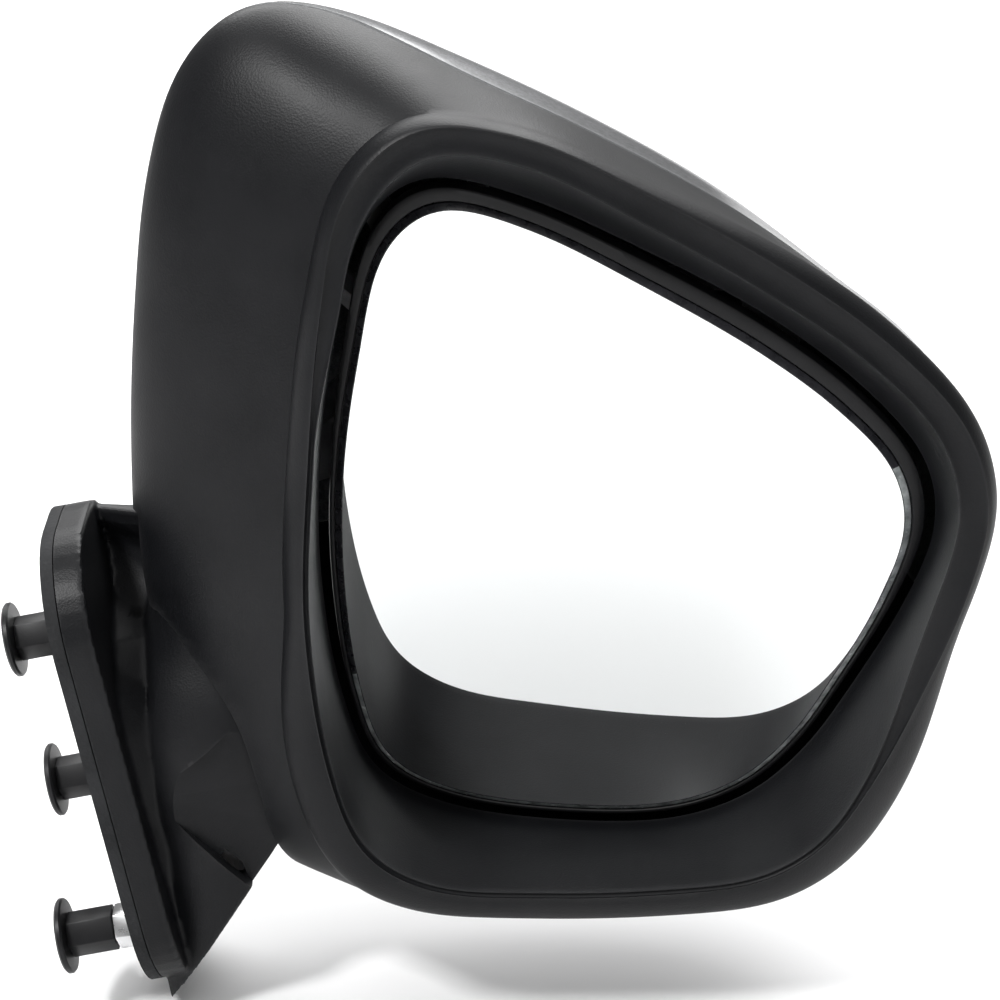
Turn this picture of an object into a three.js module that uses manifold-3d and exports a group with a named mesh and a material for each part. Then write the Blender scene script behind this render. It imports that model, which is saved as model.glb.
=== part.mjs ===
// Right-hand exterior door mirror of a car, in millimetres.
// +X points outboard, +Y forward, +Z up. The glass faces -Y.
// The origin is the centre of the face that meets the door.
import * as THREE from 'three';
import { mergeVertices } from 'three/addons/utils/BufferGeometryUtils.js';
import Module from 'manifold-3d';

const wasm = await Module();
wasm.setup();

// ---------------------------------------------------------------- dimensions

const GAP = 0.3; // clearance between touching pieces
const DEG = Math.PI / 180;

// Door side: everything of the foot leans with the door panel.
const DOOR_LEAN = 10 * DEG;
const PLATE_HEIGHT = 124;
const PLATE_DEPTH = 60;
const PLATE_CORNER = 24;
const GASKET_THICK = 3;
const FRAME_PLATE_THICK = 4;
const SKIN = 2.4; // wall of every moulded shell

// Fold axis: upright, through the turret of the foot.
const FOLD_X = 29;
const TURRET_TOP = 60;
const TURRET_BOTTOM = -70;
const TURRET = [ // [radius, height]: a tapering round body about the fold axis
  [23, -40], [24.2, -18], [26.4, -2], [25.8, 13], [23, 22], [17.2, 33], [15.4, 44], [14.8, 57],
];
const POST_R = 6.5;
const POST_BORE_R = 4.2;
const POST_FOOT = 6;
const POST_TOP = 106;
const DETENT_THICK = 3;
const BEARING_THICK = 6;
const BEARING_R = 10.6;
const SPRING_R = 8.6;
const SPRING_WIRE_R = 1.4;
const SPRING_TURNS = 5;

// Head: outlines are (x, z) points in planes of constant y, seen from behind.
const HEAD_CENTRE = [118, 72];
const RIM_Y = -40;
const SHOULDER_Y = -33;
const WIDEST_Y = -3;
const SPLIT_Y = -14;
const SEAM = 0.6; // open joint between cap and rear shell
const SPLIT_SWEEP = 22; // the split runs further forward on the inboard side
const NOSE_DEPTH = 68; // widest section to the front of the cap
const NOSE_POWER = 2.2;
const LOWER_COVER_Z = 40;
const AROUND = 48; // steps round the head

const RIM_OUTLINE = [
  [52, 50], [54, 90], [58, 126], [64, 152], [79, 166], [102, 164],
  [130, 151], [160, 134], [186, 115], [204, 95], [210, 76], [207, 56],
  [198, 30], [187, 5], [176, -12], [162, -21], [138, -24], [108, -24],
  [80, -21], [65, -11], [57, 10],
];
const WIDEST_OUTLINE = [
  [11, 82], [14, 118], [19, 150], [28, 174], [43, 186], [63, 184],
  [88, 174], [118, 160], [150, 142], [180, 119.5], [201, 102], [212, 83],
  [211, 58], [202, 28], [192, 3], [180, -20], [163, -33], [138, -38],
  [108, -38], [80, -36], [58, -34], [38, -26], [27, -8], [17, 20], [11, 50],
];

// Mirror glass: its own frame has x across, y away from the driver, z up.
const GLASS_CENTRE = [125, -13, 62];
const GLASS_YAW = -6 * DEG;
const GLASS_PITCH = 8 * DEG;
const GLASS_THICK = 2.2;
const HOLDER_THICK = 3;
const FUNNEL_GAP = 2.5;
const GLASS_OUTLINE = [
  [-66, -16], [-65, 14], [-60, 45], [-52, 74], [-40, 83.5], [-20, 79],
  [6, 66], [34, 49.5], [54, 34], [68, 18], [72, 2], [67, -20],
  [57, -43], [48, -60], [36, -74], [19, -82.5], [-8, -84.5], [-40, -80],
  [-56, -70], [-63, -48],
];

// Glass actuator, in the glass frame.
const ROD_ARM = 25;
const ROD_R = 3.2;
const PAD_Y = 8;
const RING_Y = 12;
const RING_INNER = 10;
const RING_OUTER = 14;
const RING_THICK = 6;
const PIN_R = 1.8;
const ACTUATOR_FRONT = 20;
const ACTUATOR_DEPTH = 26;

// Studs and nuts: [y, height on the door face].
const STUDS = [[12, 28], [14, -14], [-19, -41]];
const STUD_R = 3;
const STUD_REACH = 20.5;
const COLLAR_FLATS = 10;
const COLLAR_LENGTH = 5;
const NUT_FLATS = 10;
const NUT_FACE = 17; // door face to the near side of the nut's flange
const NUT_FLANGE_R = 9.5;
const NUT_FLANGE_THICK = 2;
const GROMMET = [6, -40]; // [y, height]
const GROMMET_R = 13;
const GROMMET_BORE_R = 4.6;
const GROMMET_REACH = 5;

// Fold limits of the head about its post, in degrees.
const FOLD_REAR = -40;
const FOLD_FRONT = 30;

// Web between door plate and turret, as angles about the fold axis (0 is outboard, 90 forward).
// It keeps out of the path of the head's skin: [u, forward edge, rearward edge].
const WEB_SECTOR = [
  [-66, 128, 240], [-40, 128, 240], [-20, 124, 240], [0, 118, 238], [14, 112, 232],
  [24, 108, 222], [33, 105, 200], [42, 104, 160], [50, 103, 151], [60, 107, 150],
];
const WEB_HALF_DEPTH = 26;
const FORWARD_TRIM = 68; // head skin stops at this angle on the forward side of the turret
const TRIM_END = 204;
const TRIM_TOP = 66;

// Screw bosses of the rear shell: [x, z, radius].
const SHELL_BOSSES = [[36, 126, 4.5], [46, 160, 4.5], [104, 157.5, 3.6]];
const BOSS_END = -11;

// ------------------------------------------------------------------ materials

const finish = (color, roughness, metalness) =>
  new THREE.MeshStandardMaterial({ color, roughness, metalness });
const BLACK_PLASTIC = finish(0x1a1b1d, 0.55, 0);
const SATIN_BLACK = finish(0x101113, 0.4, 0);
const GREY_METALLIC = finish(0x8d8f92, 0.35, 0.7);
const RUBBER = finish(0x2b2c2e, 0.9, 0);
const ZINC = finish(0xc9ccd0, 0.3, 1);
const STEEL = finish(0x8f9296, 0.4, 1);
const CAST_ALLOY = finish(0x9a9b9d, 0.6, 0.9);
const GREY_NYLON = finish(0x5b5d60, 0.6, 0);
const WHITE_NYLON = finish(0xd9d8d2, 0.6, 0);
const SILVERED = finish(0xf2f5f7, 0.05, 1);

// -------------------------------------------------------------- solid helpers

// A closed three.js geometry as a solid that can be cut and joined.
function solid(geometry) {
  const bare = geometry.clone();
  for (const name of Object.keys(bare.attributes)) {
    if (name !== 'position') bare.deleteAttribute(name);
  }
  const merged = mergeVertices(bare, 1e-4);
  return new wasm.Manifold(new wasm.Mesh({
    numProp: 3,
    vertProperties: new Float32Array(merged.attributes.position.array),
    triVerts: new Uint32Array(merged.index.array),
  }));
}

function geometryOf(shape) {
  const mesh = shape.getMesh();
  const geometry = new THREE.BufferGeometry();
  const position = new THREE.BufferAttribute(new Float32Array(mesh.vertProperties), 3);
  geometry.setAttribute('position', position);
  geometry.setIndex(new THREE.BufferAttribute(new Uint32Array(mesh.triVerts), 1));
  geometry.computeVertexNormals();
  return geometry;
}

const placed = (geometry, [x, y, z]) => geometry.translate(x, y, z);

// Box by its centre and size.
const box = (centre, size) => solid(placed(new THREE.BoxGeometry(...size), centre));

// Round bar along y, from y0 to y1.
function barY(x, z, radius, y0, y1, sides = 24) {
  const bar = new THREE.CylinderGeometry(radius, radius, y1 - y0, sides);
  return solid(placed(bar, [x, (y0 + y1) / 2, z]));
}

// Round bar along x.
function barX(y, z, radius, x0, x1, sides = 24) {
  const bar = new THREE.CylinderGeometry(radius, radius, x1 - x0, sides).rotateZ(Math.PI / 2);
  return solid(placed(bar, [(x0 + x1) / 2, y, z]));
}

// Round bar along z.
function barZ(x, y, radius, z0, z1, sides = 24) {
  const bar = new THREE.CylinderGeometry(radius, radius, z1 - z0, sides).rotateX(Math.PI / 2);
  return solid(placed(bar, [x, y, (z0 + z1) / 2]));
}

// Solid of revolution about z from (radius, height) points that start and end on the axis.
const turned = (profile, sides = 40) => solid(
  new THREE.LatheGeometry(profile.map(([r, h]) => new THREE.Vector2(r, h)), sides)
    .rotateX(Math.PI / 2),
);

// Extrusion of an (x, z) outline between two depths y0 < y1.
function slabY(points, y0, y1) {
  const shape = new THREE.Shape(points.map(([x, z]) => new THREE.Vector2(x, z)));
  const slab = new THREE.ExtrudeGeometry(shape, { depth: y1 - y0, bevelEnabled: false });
  return solid(slab.rotateX(Math.PI / 2).translate(0, y1, 0));
}

// Extrusion of a (y, z) outline between x0 < x1.
function slabX(points, x0, x1) {
  const shape = new THREE.Shape(points.map(([y, z]) => new THREE.Vector2(y, z)));
  const slab = new THREE.ExtrudeGeometry(shape, { depth: x1 - x0, bevelEnabled: false });
  return solid(slab.rotateX(Math.PI / 2).rotateZ(Math.PI / 2).translate(x0, 0, 0));
}

function roundedRect(width, height, radius, steps = 6) {
  const points = [];
  for (let corner = 0; corner < 4; corner += 1) {
    const sx = corner === 0 || corner === 3 ? 1 : -1;
    const sz = corner < 2 ? 1 : -1;
    for (let i = 0; i <= steps; i += 1) {
      const a = (corner + i / steps) * 90 * DEG;
      points.push([
        sx * (width / 2 - radius) + radius * Math.cos(a),
        sz * (height / 2 - radius) + radius * Math.sin(a),
      ]);
    }
  }
  return points;
}

const hexagon = (flats) => Array.from({ length: 6 }, (_, i) => [
  (flats / Math.sqrt(3)) * Math.cos(i * 60 * DEG),
  (flats / Math.sqrt(3)) * Math.sin(i * 60 * DEG),
]);

// ----------------------------------------------------------------- outlines

// Smooth closed curve through the points, as a radius for each direction from a centre.
function radialOutline(points, [cx, cz]) {
  const curve = new THREE.CatmullRomCurve3(
    points.map(([x, z]) => new THREE.Vector3(x - cx, 0, z - cz)), true, 'centripetal',
  );
  const polar = curve.getPoints(points.length * 24).slice(0, -1)
    .map((p) => [Math.atan2(p.z, p.x), Math.hypot(p.x, p.z)])
    .sort((a, b) => a[0] - b[0]);
  return (angle) => {
    const a = Math.atan2(Math.sin(angle), Math.cos(angle));
    let i = polar.findIndex((p) => p[0] > a);
    if (i < 0) i = 0;
    const next = polar[i];
    const last = polar[(i + polar.length - 1) % polar.length];
    const wrap = (v) => (v < 0 ? v + 2 * Math.PI : v);
    const span = wrap(next[0] - last[0]);
    const part = span > 0 ? wrap(a - last[0]) / span : 0;
    return last[1] + (next[1] - last[1]) * part;
  };
}

const smooth = (from, to, value) => THREE.MathUtils.smoothstep(value, from, to);

const rimRadius = radialOutline(RIM_OUTLINE, HEAD_CENTRE);
const widestRadius = radialOutline(WIDEST_OUTLINE, HEAD_CENTRE);
const glassRadius = radialOutline(GLASS_OUTLINE, [0, 0]);

// The shoulder behind the rim bulges most along the bottom.
const shoulderRadius = (a) => rimRadius(a) + 1.2
  + 8 * smooth(0.25, 0.8, -Math.sin(a))
  + 2 * smooth(0, 0.8, Math.cos(a))
  + 3.5 * smooth(0.2, 0.9, -Math.cos(a));

// Where the cap meets the rear shell.
const splitY = (a) => SPLIT_Y + SPLIT_SWEEP * smooth(0.1, 0.8, -Math.cos(a));

// The lip is wide along the top and right and thin along the bottom and left.
const lipWidth = (a) => 1.6 + 5.2 * smooth(-0.3, 0.4, Math.cos(a - 55 * DEG));
const holderMargin = (a) => 1.6 + 2.4 * smooth(-0.2, 0.8, Math.sin(a + 20 * DEG));

const headPoint = (radius, a, y) => new THREE.Vector3(
  HEAD_CENTRE[0] + radius * Math.cos(a), y, HEAD_CENTRE[1] + radius * Math.sin(a),
);

// Outer skin of the head between the shoulder and the nose; inset moves it inwards.
function skinRadius(a, y, inset = 0) {
  let radius;
  if (y <= WIDEST_Y) {
    const t = (y - SHOULDER_Y) / (WIDEST_Y - SHOULDER_Y);
    const crown = 0.35 + 0.45 * smooth(0.1, 0.7, -Math.cos(a));
    const ease = t + crown * t * (1 - t);
    radius = shoulderRadius(a) + (widestRadius(a) - shoulderRadius(a)) * ease;
  } else {
    const t = Math.min(1, (y - WIDEST_Y) / (NOSE_DEPTH - inset));
    radius = widestRadius(a) * (1 - t ** NOSE_POWER) ** (1 / NOSE_POWER);
  }
  return radius - inset;
}

// ------------------------------------------------------------- glass geometry

const glassFrame = new THREE.Group();
glassFrame.position.set(...GLASS_CENTRE);
glassFrame.rotation.set(GLASS_PITCH, 0, GLASS_YAW, 'ZXY');
glassFrame.updateMatrixWorld(true);
const glassToPart = glassFrame.matrixWorld;

const glassPoint = (radius, a, y) => new THREE.Vector3(
  radius * Math.cos(a), y, radius * Math.sin(a),
);

// ---------------------------------------------------------------- mesh helpers

// Closed surface from rings of points; each ring has the same count. Caps close on a centre.
function ringSurface(rings, { closed }) {
  const count = rings[0].length;
  const position = [];
  const index = [];
  for (const ring of rings) for (const p of ring) position.push(p.x, p.y, p.z);
  const steps = closed ? rings.length : rings.length - 1;
  for (let r = 0; r < steps; r += 1) {
    const s = (r + 1) % rings.length;
    for (let i = 0; i < count; i += 1) {
      const j = (i + 1) % count;
      index.push(r * count + i, s * count + i, s * count + j);
      index.push(r * count + i, s * count + j, r * count + j);
    }
  }
  if (!closed) {
    const ends = [[0, 1], [rings.length - 1, -1]];
    for (const [ring, side] of ends) {
      const centre = rings[ring].reduce((sum, p) => sum.add(p), new THREE.Vector3())
        .divideScalar(count);
      const c = position.length / 3;
      position.push(centre.x, centre.y, centre.z);
      for (let i = 0; i < count; i += 1) {
        const a = ring * count + i;
        const b = ring * count + ((i + 1) % count);
        if (side > 0) index.push(c, a, b);
        else index.push(c, b, a);
      }
    }
  }
  const geometry = new THREE.BufferGeometry();
  geometry.setAttribute('position', new THREE.Float32BufferAttribute(position, 3));
  geometry.setIndex(index);
  return outward(geometry);
}

// Turns a closed surface so that its faces point out.
function outward(geometry) {
  const p = geometry.attributes.position;
  const index = geometry.index.array;
  let volume = 0;
  const [a, b, c] = [new THREE.Vector3(), new THREE.Vector3(), new THREE.Vector3()];
  for (let t = 0; t < index.length; t += 3) {
    a.fromBufferAttribute(p, index[t]);
    b.fromBufferAttribute(p, index[t + 1]);
    c.fromBufferAttribute(p, index[t + 2]);
    volume += a.dot(b.cross(c));
  }
  if (volume < 0) {
    for (let t = 0; t < index.length; t += 3) {
      [index[t + 1], index[t + 2]] = [index[t + 2], index[t + 1]];
    }
  }
  return geometry;
}

const angles = Array.from({ length: AROUND }, (_, i) => (i * 2 * Math.PI) / AROUND);

// -------------------------------------------------------------------- the head

// Rear shell: one hooked wall section carried round the head, skin, rim, lip and funnel.
function housingSection(a) {
  const split = splitY(a);
  const skinStations = [0, 0.28, 0.54, 0.78, 1].map((t) => split + (SHOULDER_Y - split) * t);
  const outer = skinStations.map((y) => headPoint(skinRadius(a, y), a, y));
  const lipInner = rimRadius(a) - lipWidth(a);
  outer.push(headPoint((shoulderRadius(a) + rimRadius(a)) / 2 + 0.8, a, RIM_Y + 2.6));
  outer.push(headPoint(rimRadius(a), a, RIM_Y));
  outer.push(headPoint(lipInner, a, RIM_Y + 0.8));
  const end = funnelEnd(a, 0);
  const lip = headPoint(lipInner, a, RIM_Y + 0.8);
  outer.push(lip.clone().lerp(end, 0.12).add(new THREE.Vector3(0, 1.2, 0)));
  outer.push(lip.clone().lerp(end, 0.55).add(new THREE.Vector3(0, 1.5, 0)));
  outer.push(end);
  const inner = [
    funnelEnd(a, SKIN),
    headPoint(lipInner + SKIN, a, RIM_Y + 0.8).lerp(funnelEnd(a, SKIN), 0.5),
    headPoint(Math.min(lipInner + SKIN, shoulderRadius(a) - SKIN - 1), a, RIM_Y + 4.5),
    headPoint(shoulderRadius(a) - SKIN, a, SHOULDER_Y + 1),
    headPoint(skinRadius(a, skinStations[2]) - SKIN, a, skinStations[2]),
    headPoint(skinRadius(a, split) - SKIN, a, split),
  ];
  return outer.concat(inner);
}

// Inner end of the funnel, level with the glass and a running clearance outside the holder.
function funnelEnd(a, extra) {
  const radius = glassRadius(a) + holderMargin(a) + FUNNEL_GAP + extra;
  return glassPoint(radius, a, 1).applyMatrix4(glassToPart);
}

const housingRing = solid(ringSurface(angles.map(housingSection), { closed: true }));

// Front skin: dome from the split to the nose.
const NOSE_STEPS = [0, 0.12, 0.28, 0.46, 0.63, 0.78, 0.9, 0.98];
function dome(inset) {
  const front = WIDEST_Y + NOSE_DEPTH - inset;
  const station = (a, t) => {
    const start = splitY(a) + (inset ? -1 : SEAM);
    return start + (front - start) * t;
  };
  return solid(ringSurface(
    NOSE_STEPS.map((t) => angles.map((a) => {
      const y = station(a, t);
      return headPoint(skinRadius(a, y, inset), a, y);
    })), { closed: false },
  ));
}
const noseShell = dome(0).subtract(dome(SKIN));

// The head's whole outer form, rim to nose.
const headForm = solid(ringSurface(
  [RIM_Y, SHOULDER_Y, -24, -14, WIDEST_Y, 8, 22, 36, 48, 58, 63.5].map((y) => angles.map(
    (a) => headPoint(y === RIM_Y ? rimRadius(a) : skinRadius(a, y), a, y),
  )), { closed: false },
));

// ------------------------------------------------------------------- the foot

// The door-side pieces lean with the door: their own frame has x away from the door.
const foot = new THREE.Group();
foot.rotation.y = -DOOR_LEAN;
foot.updateMatrixWorld(true);
const leaned = (shape) => shape.rotate([0, -DOOR_LEAN / DEG, 0]);

// A point at a radius and angle about the fold axis.
const aboutAxis = (r, degrees, z) => new THREE.Vector3(
  FOLD_X + r * Math.cos(degrees * DEG), r * Math.sin(degrees * DEG), z,
);

function turret(grow, bottom = TURRET_BOTTOM, top = TURRET_TOP) {
  const side = TURRET.map(([r, z]) => [r + grow, z]);
  const first = [side[0][0], bottom];
  const last = [side[side.length - 1][0] - 1, top];
  return turned([[0, bottom], first, ...side, last, [0, top]], 36).translate([FOLD_X, 0, 0]);
}

const turretRadius = (z) => {
  const next = TURRET.findIndex(([, height]) => height > z);
  if (next <= 0) return TURRET[next === 0 ? 0 : TURRET.length - 1][0];
  const [[r0, z0], [r1, z1]] = [TURRET[next - 1], TURRET[next]];
  return r0 + ((r1 - r0) * (z - z0)) / (z1 - z0);
};

// Rounded plate against the door, in the foot's own frame.
const doorPlate = (inset, x0, x1) => slabX(
  roundedRect(PLATE_DEPTH - 2 * inset, PLATE_HEIGHT - 2 * inset, PLATE_CORNER - inset), x0, x1,
);

// Half depth of the door plate at a height.
function plateHalfDepth(z) {
  const above = Math.max(0, Math.abs(z) - (PLATE_HEIGHT / 2 - PLATE_CORNER));
  const corner = Math.sqrt(Math.max(0, PLATE_CORNER ** 2 - above ** 2));
  return PLATE_DEPTH / 2 - PLATE_CORNER + corner;
}

// Web from the turret to the plate. inset gives its inner surface.
function web(inset) {
  const rings = WEB_SECTOR.map(([z, forward, rearward], level) => {
    const plateX = (GASKET_THICK + 4) / Math.cos(DOOR_LEAN) - z * Math.tan(DOOR_LEAN);
    const reach = FOLD_X - plateX;
    const edge = (inset / 22) / DEG;
    const [from, to] = [forward + edge, rearward - edge];
    const height = level === WEB_SECTOR.length - 1 ? z - inset : z;
    const arc = [0, 0.25, 0.5, 0.75, 1].map((t) => aboutAxis(
      turretRadius(z) - 3, from + (to - from) * t, height,
    ));
    const half = Math.min(WEB_HALF_DEPTH, plateHalfDepth(z)) - inset;
    const yOf = (angle) => THREE.MathUtils.clamp(-reach * Math.tan(angle * DEG), -half, half);
    const y1 = yOf(from);
    const y0 = Math.min(yOf(to), y1 - 2);
    const back = [0, 0.33, 0.67, 1].map((t) => new THREE.Vector3(plateX, y0 + (y1 - y0) * t, height));
    return [...arc, ...back];
  });
  return solid(ringSurface(rings, { closed: false }));
}

// Outer form of the foot: plate edge and web. inset gives the inner surface.
const footBase = (inset) => leaned(
  doorPlate(inset, GASKET_THICK + GAP, GASKET_THICK + 7 - inset),
).add(web(inset));

// The wedge of space on the forward side of the turret that the head's skin leaves free.
function forwardTrim() {
  const rings = [-95, TURRET_TOP + 0.7, TURRET_TOP + 0.9, TRIM_TOP].map((z, level) => {
    const inner = level < 2 ? 8 : 13.8;
    const steps = [0, 0.2, 0.4, 0.6, 0.8, 1];
    const at = (r, t) => aboutAxis(r, FORWARD_TRIM + (TRIM_END - FORWARD_TRIM) * t, z);
    return [...steps.map((t) => at(inner, t)), ...steps.map((t) => at(90, 1 - t))];
  });
  return solid(ringSurface(rings, { closed: false }));
}

// Space that the head leaves round the foot.
const footClearance = turret(0.8, -90, TURRET_TOP + 0.8).add(forwardTrim());

// The foot's underside slopes up from the bottom of the plate to the head.
const underside = (raise) => slabY(
  [[-10, -120], [90, -120], [90, 0], [62, -1], [43, -19], [17, -60], [8, -75], [-10, -90]]
    .map(([x, z]) => [x, z + raise]), -60, 60,
);

// A flat facet runs down and back from a crease across the lower half of the foot.
const facet = (inset) => box([56, -60, -60], [170, 120, 120])
  .rotate([9, 0, 0]).rotate([0, -42, 0]).translate([34, -24.6 + inset, 17 + inset]);

// -------------------------------------------------------------- build the tree

const root = new THREE.Group();
root.name = 'side_mirror';
root.add(foot, glassFrame);

function piece(name, shape, material, parent = root) {
  const geometry = shape.isBufferGeometry ? shape : geometryOf(shape);
  const mesh = new THREE.Mesh(geometry, material);
  mesh.name = name;
  parent.add(mesh);
  return mesh;
}

// ---- foot pieces, in the foot's own frame

const holes = STUDS.map(([y, u]) => barX(y, u, COLLAR_FLATS / 2 + 1.2, -5, 20));
const grommetHole = barX(...GROMMET, GROMMET_R - 3, -10, 30);
const removeAll = (shape, cutters) => cutters.reduce((left, cutter) => left.subtract(cutter), shape);

const gasket = removeAll(doorPlate(0, 0, GASKET_THICK), [...holes, grommetHole]);
piece('door_gasket', gasket, RUBBER, foot);

const bearingRoom = barZ(FOLD_X, 0, 13.8, TURRET_TOP, 90, 32);
const outerFoot = footBase(0).subtract(bearingRoom).add(turret(0))
  .subtract(underside(0)).subtract(facet(0));
const openBack = leaned(doorPlate(SKIN, -5, GASKET_THICK + 5));
const innerFoot = footBase(SKIN).subtract(bearingRoom)
  .add(turret(-SKIN, TURRET_BOTTOM, TURRET_TOP - SKIN)).subtract(underside(SKIN))
  .subtract(facet(SKIN));
const doorSide = leaned(box([-100 + GASKET_THICK + GAP, 0, 0], [200, 300, 300]));
const footCover = outerFoot.subtract(innerFoot.add(openBack)).subtract(doorSide)
  .subtract(barZ(FOLD_X, 0, POST_R + GAP, 40, 90));
piece('foot_cover', footCover, BLACK_PLASTIC);

// Cast frame inside the cover: door plate, core up the turret, bore for the post and the harness.
const WALL = SKIN + GAP;
const framePlate = leaned(doorPlate(WALL, GASKET_THICK + GAP, GASKET_THICK + FRAME_PLATE_THICK));
const core = barZ(FOLD_X, 0, 13, -30, 24, 32)
  .add(barZ(FOLD_X, 0, POST_R + 3, 20, TURRET_TOP - SKIN - GAP, 24));
const arm = box([FOLD_X / 2, 0, -8], [FOLD_X, 22, 34]).subtract(doorSide);
const harnessBore = leaned(barX(...GROMMET, GROMMET_R - 3, -10, 24));
const footFrame = core.add(arm).intersect(innerFoot.translate([GAP, 0, 0]).intersect(innerFoot))
  .add(framePlate)
  .subtract(barZ(FOLD_X, 0, POST_R + GAP / 2, POST_FOOT, 90))
  .subtract(barZ(FOLD_X, 0, POST_BORE_R, -60, 90))
  .subtract(harnessBore).subtract(underside(WALL));
const studBores = STUDS.map(([y, u]) => leaned(barX(y, u, STUD_R + 0.15, -5, 20)));
piece('foot_frame', removeAll(footFrame, studBores), CAST_ALLOY);

const grommetProfile = [[0, -GROMMET_REACH], [GROMMET_R - 4, -GROMMET_REACH],
  [GROMMET_R - 0.6, -GROMMET_REACH + 2.2], [GROMMET_R, -GAP], [GROMMET_R - 3 - GAP, -GAP],
  [GROMMET_R - 3 - GAP, GASKET_THICK + 3], [0, GASKET_THICK + 3]];
const grommet = turned(grommetProfile, 28).rotate([0, 90, 0])
  .subtract(barX(0, 0, GROMMET_BORE_R, -20, 20, 20)).translate([0, GROMMET[0], GROMMET[1]]);
piece('harness_grommet', grommet, RUBBER, foot);

const hexBar = (flats, x0, x1) => slabX(hexagon(flats), x0, x1);
STUDS.forEach(([y, u], i) => {
  const stud = barX(0, 0, STUD_R, -STUD_REACH, GASKET_THICK + FRAME_PLATE_THICK, 20)
    .add(hexBar(COLLAR_FLATS, -COLLAR_LENGTH, GASKET_THICK));
  piece(`stud_${i + 1}`, stud.translate([0, y, u]), ZINC, foot);
  const nut = hexBar(NUT_FLATS, -NUT_FACE, -COLLAR_LENGTH - GAP)
    .add(barX(0, 0, NUT_FLANGE_R, -NUT_FACE - NUT_FLANGE_THICK, -NUT_FACE, 36))
    .subtract(barX(0, 0, STUD_R + GAP, -30, 10, 20));
  piece(`flange_nut_${i + 1}`, nut.translate([0, y, u]), SATIN_BLACK, foot);
});

const post = barZ(FOLD_X, 0, POST_R, POST_FOOT + GAP, POST_TOP, 28)
  .subtract(barZ(FOLD_X, 0, POST_BORE_R, POST_FOOT - 5, POST_TOP + 5, 24));
piece('pivot_post', post, STEEL);

// Detent ring on the turret, bearing above it, then spring and retaining cap.
const RING_LOW = TURRET_TOP + GAP;
const BEARING_LOW = RING_LOW + DETENT_THICK + 1.4;
const BEARING_HIGH = BEARING_LOW + BEARING_THICK;
const SPRING_TOP = POST_TOP - 8;
const postHole = barZ(FOLD_X, 0, POST_R + GAP, 0, 200, 28);
const bumps = [20, 140, 260].map((angle) => {
  const bump = new THREE.SphereGeometry(1.6, 10, 6);
  const p = aboutAxis(8.8, angle, RING_LOW + DETENT_THICK - 0.5);
  return solid(bump.translate(p.x, p.y, p.z));
});
const detent = wasm.Manifold.union([
  barZ(FOLD_X, 0, 11, RING_LOW, RING_LOW + DETENT_THICK, 30), ...bumps,
]).subtract(postHole);
piece('detent_ring', detent, STEEL);

class Helix extends THREE.Curve {
  getPoint(t) {
    const a = t * SPRING_TURNS * 2 * Math.PI;
    const low = BEARING_HIGH + GAP + SPRING_WIRE_R;
    const high = SPRING_TOP - GAP - SPRING_WIRE_R;
    return new THREE.Vector3(
      FOLD_X + SPRING_R * Math.cos(a), SPRING_R * Math.sin(a), low + (high - low) * t,
    );
  }
}
const wire = new THREE.Shape(Array.from({ length: 6 }, (_, i) => new THREE.Vector2(
  SPRING_WIRE_R * Math.cos(i * 60 * DEG), SPRING_WIRE_R * Math.sin(i * 60 * DEG),
)));
piece('fold_spring', new THREE.ExtrudeGeometry(wire, {
  steps: SPRING_TURNS * 12, extrudePath: new Helix(), bevelEnabled: false,
}), STEEL);
const springCap = turned([[0, 0], [10, 0], [10, 2.4], [8.6, 4.4], [0, 4.4]], 30)
  .translate([FOLD_X, 0, SPRING_TOP]).subtract(postHole);
piece('spring_cap', springCap, STEEL);

// ---- head shells, in the part's frame

const bossBar = ([x, z, r], grow, y0, y1) => barY(x, z, r + grow, y0, y1, 16);
const bosses = SHELL_BOSSES.map((b) => bossBar(b, 0, RIM_Y + 6, BOSS_END).intersect(headForm));
const screwHoles = SHELL_BOSSES.map(([x, z]) => barY(x, z, 1.9, -19, 0, 12));
const housing = removeAll(
  removeAll(wasm.Manifold.union([housingRing, ...bosses]), screwHoles), [footClearance],
);
piece('head_housing', housing, BLACK_PLASTIC);

const above = box([110, 20, LOWER_COVER_Z + 200 + GAP / 2], [400, 400, 400]);
const below = box([110, 20, LOWER_COVER_Z - 200 - GAP / 2], [400, 400, 400]);
piece('cap_cover', noseShell.intersect(above).subtract(footClearance), GREY_METALLIC);
piece('lower_cover', noseShell.intersect(below).subtract(footClearance), BLACK_PLASTIC);

// ---- glass, in its own frame

const glassRing = (extra) => angles.map((a) => {
  const r = glassRadius(a) + extra(a);
  return [r * Math.cos(a), r * Math.sin(a)];
});
piece('mirror_glass', slabY(glassRing(() => 0), 0, GLASS_THICK), SILVERED, glassFrame);

const HOLDER_BACK = GLASS_THICK + GAP + HOLDER_THICK;
const holderPlate = slabY(glassRing(holderMargin), 0.6, HOLDER_BACK)
  .subtract(slabY(glassRing(() => GAP), -1, GLASS_THICK + GAP));
const hub = box([0, (HOLDER_BACK + 15) / 2, 0], [11, 15 - HOLDER_BACK + 1, 11]);
const hubPins = barZ(0, RING_Y, PIN_R, -RING_OUTER, RING_OUTER, 16);
const pads = [[0, -ROD_ARM], [ROD_ARM, 0]].map(([x, z]) => barY(x, z, 4.2, HOLDER_BACK - 1, PAD_Y));
piece('glass_holder', wasm.Manifold.union([holderPlate, hub, hubPins, ...pads]),
  SATIN_BLACK, glassFrame);

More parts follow.
